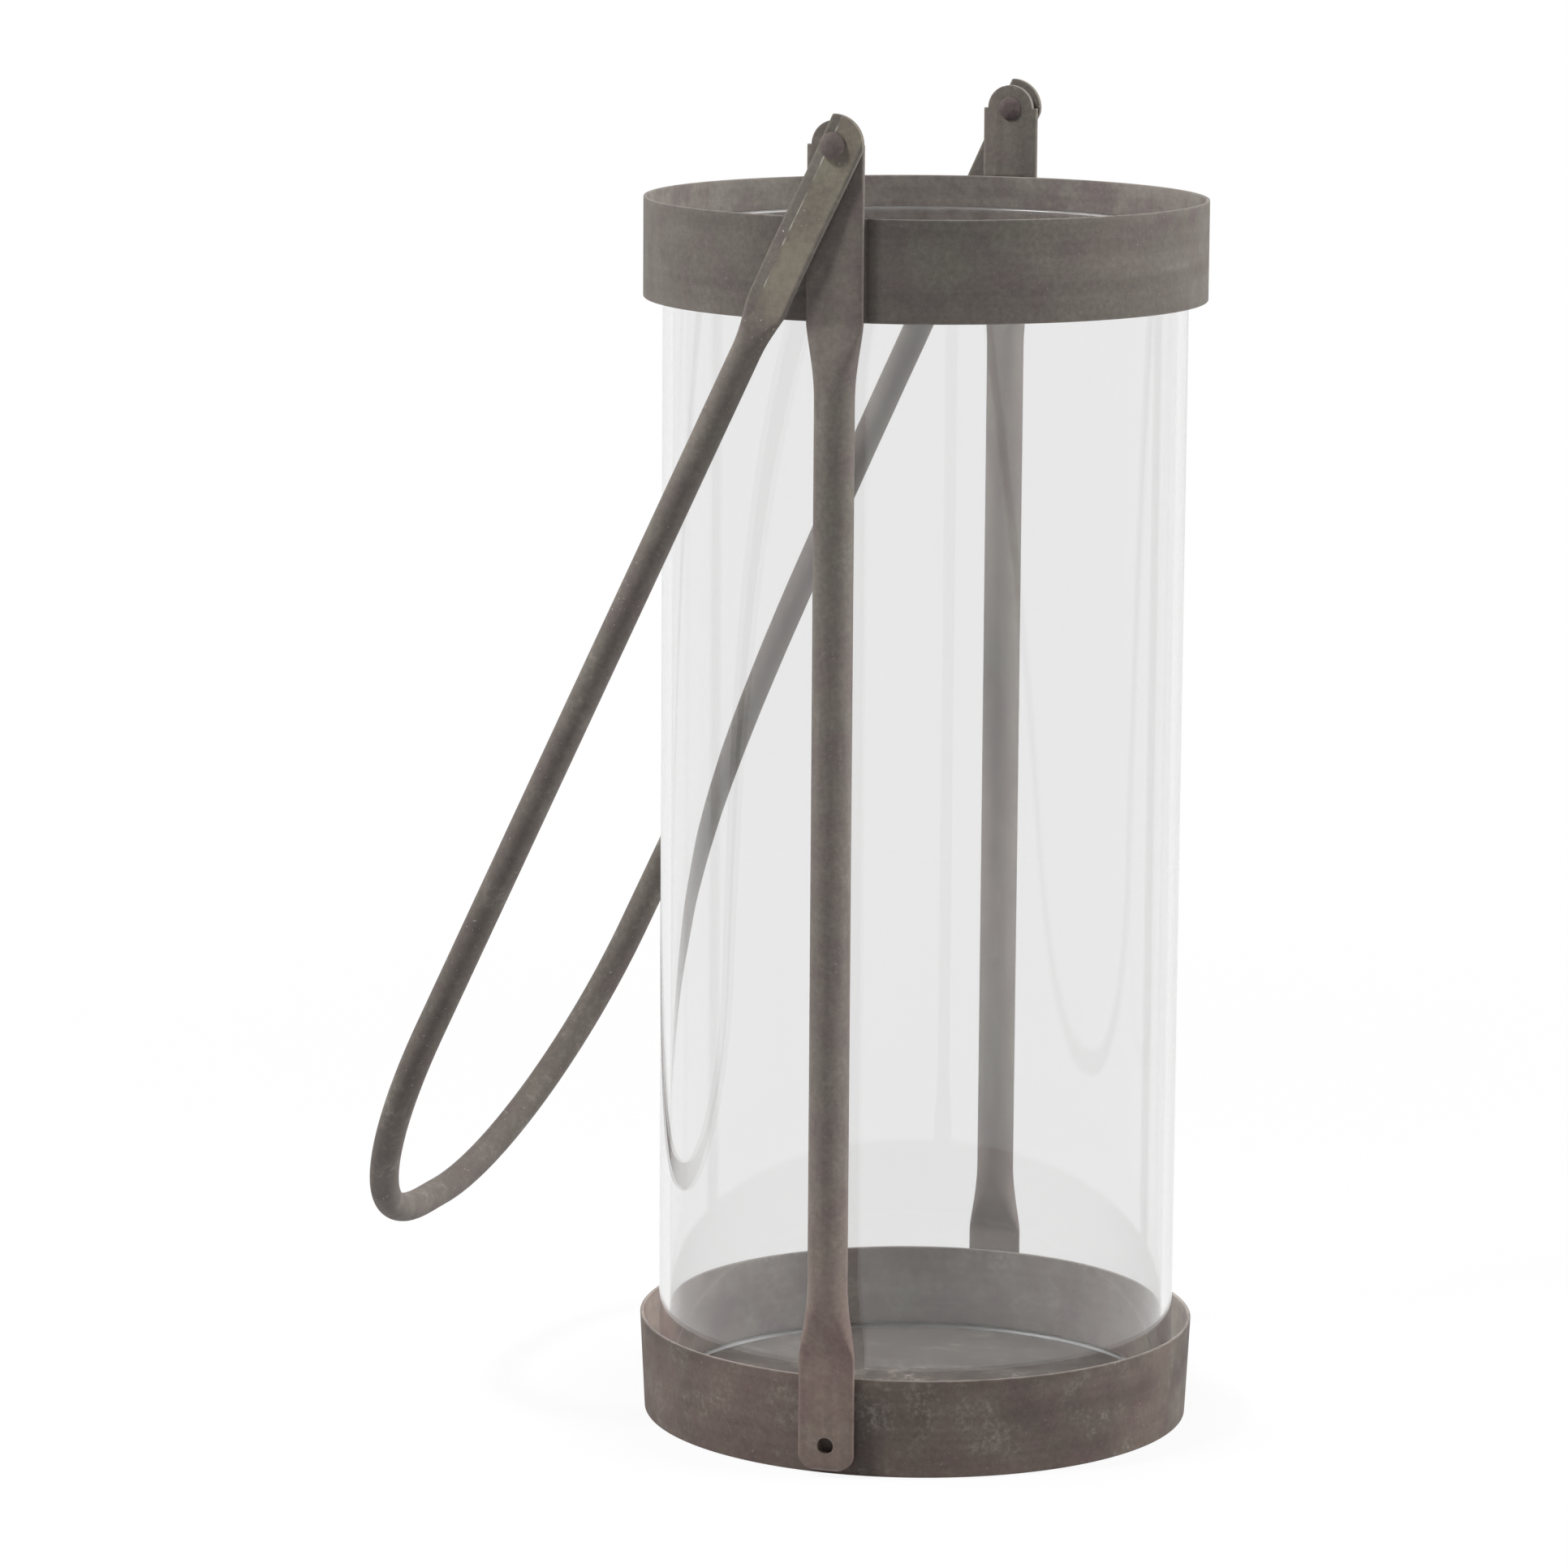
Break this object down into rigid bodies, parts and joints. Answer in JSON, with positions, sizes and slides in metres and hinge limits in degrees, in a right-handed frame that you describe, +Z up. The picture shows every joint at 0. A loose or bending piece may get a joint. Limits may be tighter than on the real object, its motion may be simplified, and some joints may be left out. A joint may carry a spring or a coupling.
{
  "type": "candle lantern",
  "caption": "Open candle lantern: a glass cylinder stands in a patinated metal pan and top band, tied by flattened-end tube uprights, with a swinging bent-tube bail handle.",
  "frame": {"origin": "centre of the base on the surface that the lantern stands on", "axes": "+Z up along the glass, Y through the two uprights and the bail's rivets, bail hanging towards -X"},
  "size_m": [0.2353, 0.175, 0.3804],
  "materials": {
    "patinated_steel": "dull brown-grey patina on rolled sheet and tube",
    "bail_steel": "dull brown-grey patina on bent tube, rubbed brighter at edges",
    "rivet_steel": "dull brown-grey patina on peened rivets",
    "clear_glass": "clear, polished rims"
  },
  "bodies": {
    "frame": {"top_band": "patinated_steel", "base_band": "patinated_steel", "base_plate": "patinated_steel", "upright_front": "patinated_steel", "upright_rear": "patinated_steel", "pivot_rivet_front": "rivet_steel", "pivot_rivet_rear": "rivet_steel"},
    "bail": {"bail_handle": "bail_steel"},
    "glass": {"glass_cylinder": "clear_glass"}
  },
  "joints": [
    {"name": "bail_swing", "type": "hinge", "parent": "frame", "child": "bail", "pos_m": [0, 0, 0.372], "axis": [0, 1, 0], "range_deg": [-8, 320]},
    {"name": "glass_lift", "type": "slide", "parent": "frame", "child": "glass", "axis": [0, 0, 1], "range_m": [0, 0.38]}
  ]
}
